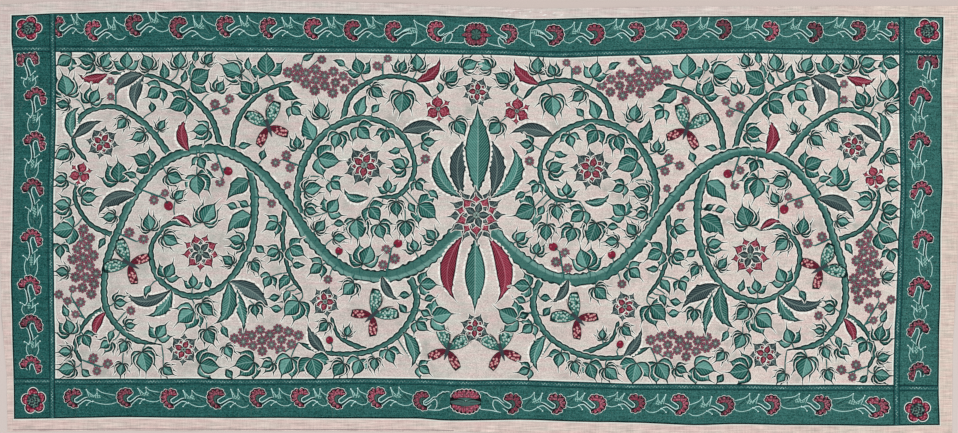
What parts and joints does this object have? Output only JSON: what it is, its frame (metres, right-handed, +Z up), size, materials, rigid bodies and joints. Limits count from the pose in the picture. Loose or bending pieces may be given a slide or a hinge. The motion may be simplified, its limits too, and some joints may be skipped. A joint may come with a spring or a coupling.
{
  "type": "batik panel",
  "caption": "Long rectangular cotton cloth, wax-drawn and dyed, with a green flowered border round a leafy field, lying flat and face up.",
  "frame": {"origin": "under the middle of the cloth, on the surface that it lies on", "axes": "+X along the cloth's length, +Y across it towards the top of the design, +Z up, the way the cloth's face looks"},
  "size_m": [2.348, 1.06, 0.0034],
  "materials": {
    "dyed_cotton": "matte plain-weave cotton, wax-resist dyed in green and crimson on cream"
  },
  "bodies": {
    "root": {"batik_cloth": "dyed_cotton"}
  },
  "joints": []
}
